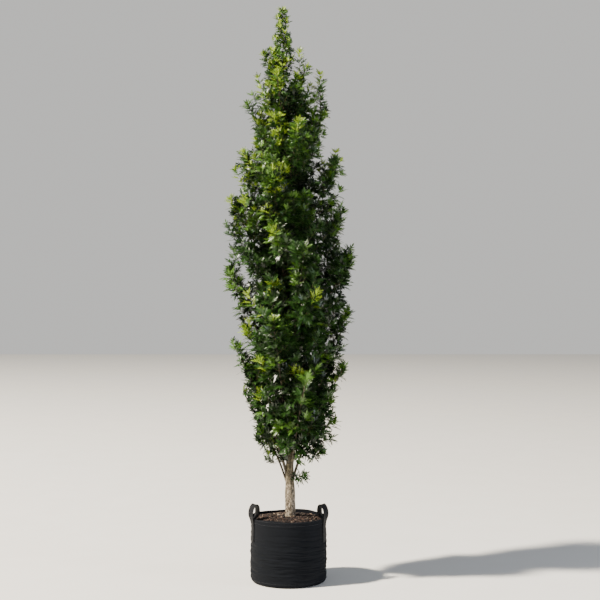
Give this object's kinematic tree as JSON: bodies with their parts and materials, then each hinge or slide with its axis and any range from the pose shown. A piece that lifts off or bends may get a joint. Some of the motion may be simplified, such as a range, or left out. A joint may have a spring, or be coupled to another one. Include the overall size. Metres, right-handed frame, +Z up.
{
  "type": "potted columnar oak tree",
  "caption": "Young upright oak tree, leafy from low on its stem, in a round black fabric planter bag with webbing handles.",
  "frame": {"origin": "centre of the bag's flat underside", "axes": "+Z up along the trunk, -Y to the front, +X to the right as seen from the front"},
  "size_m": [0.866, 0.861, 3.4251],
  "materials": {
    "felt": "matte",
    "webbing": "matte",
    "mulch": "matte",
    "bark": "matte",
    "leaves": "satin"
  },
  "bodies": {
    "root": {"bough_back_1": "bark", "bough_back_2": "bark", "bough_back_3": "bark", "bough_front_1": "bark", "bough_front_2": "bark", "bough_front_3": "bark", "bough_left_1": "bark", "bough_left_2": "bark", "bough_left_3": "bark", "bough_right_1": "bark", "bough_right_2": "bark", "bough_right_3": "bark", "compost_and_mulch": "mulch", "foliage_back_1": "leaves", "foliage_back_2": "leaves", "foliage_back_3": "leaves", "foliage_back_4": "leaves", "foliage_back_5": "leaves", "foliage_back_6": "leaves", "foliage_front_1": "leaves", "foliage_front_2": "leaves", "foliage_front_3": "leaves", "foliage_front_4": "leaves", "foliage_front_5": "leaves", "foliage_front_6": "leaves", "foliage_leader": "leaves", "foliage_left_1": "leaves", "foliage_left_2": "leaves", "foliage_left_3": "leaves", "foliage_left_4": "leaves", "foliage_left_5": "leaves", "foliage_left_6": "leaves", "foliage_left_7": "leaves", "foliage_right_1": "leaves", "foliage_right_2": "leaves", "foliage_right_3": "leaves", "foliage_right_4": "leaves", "foliage_right_5": "leaves", "foliage_right_6": "leaves", "foliage_right_7": "leaves", "handle_left": "webbing", "handle_right": "webbing", "planter_bag": "felt", "trunk": "bark"}
  },
  "joints": []
}
